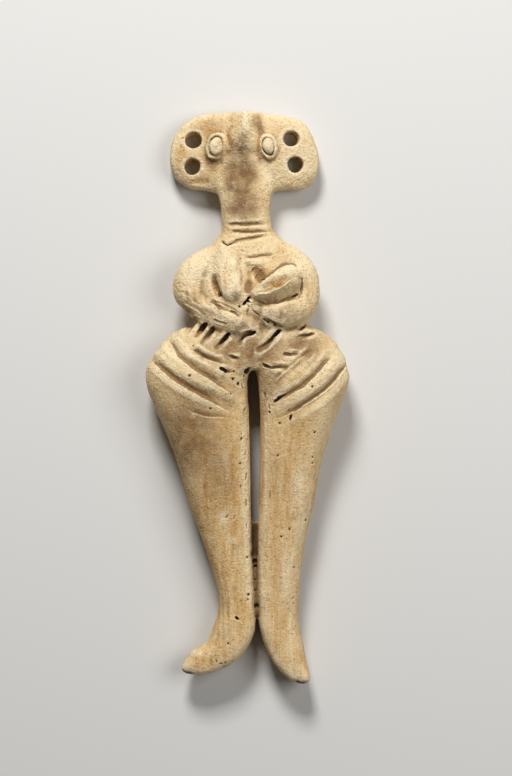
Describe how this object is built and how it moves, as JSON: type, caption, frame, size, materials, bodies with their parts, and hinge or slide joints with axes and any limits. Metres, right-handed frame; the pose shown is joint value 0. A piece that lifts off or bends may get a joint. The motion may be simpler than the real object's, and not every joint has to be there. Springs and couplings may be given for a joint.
{
  "type": "female figurine",
  "caption": "Hand-modelled fired clay figurine of a standing woman, with a pinched nose, pellet eyes, pierced round ears, hands below the breasts and grooved hips. Lies on its back.",
  "frame": {"origin": "middle of the figure's outline, on the board it lies on", "axes": "+Y up the figure from the feet to the head, +X to the viewer's right, +Z out of its front"},
  "size_m": [0.0642, 0.1802, 0.0218],
  "materials": {
    "clay": "matte"
  },
  "bodies": {
    "root": {"figurine": "clay"}
  },
  "joints": []
}
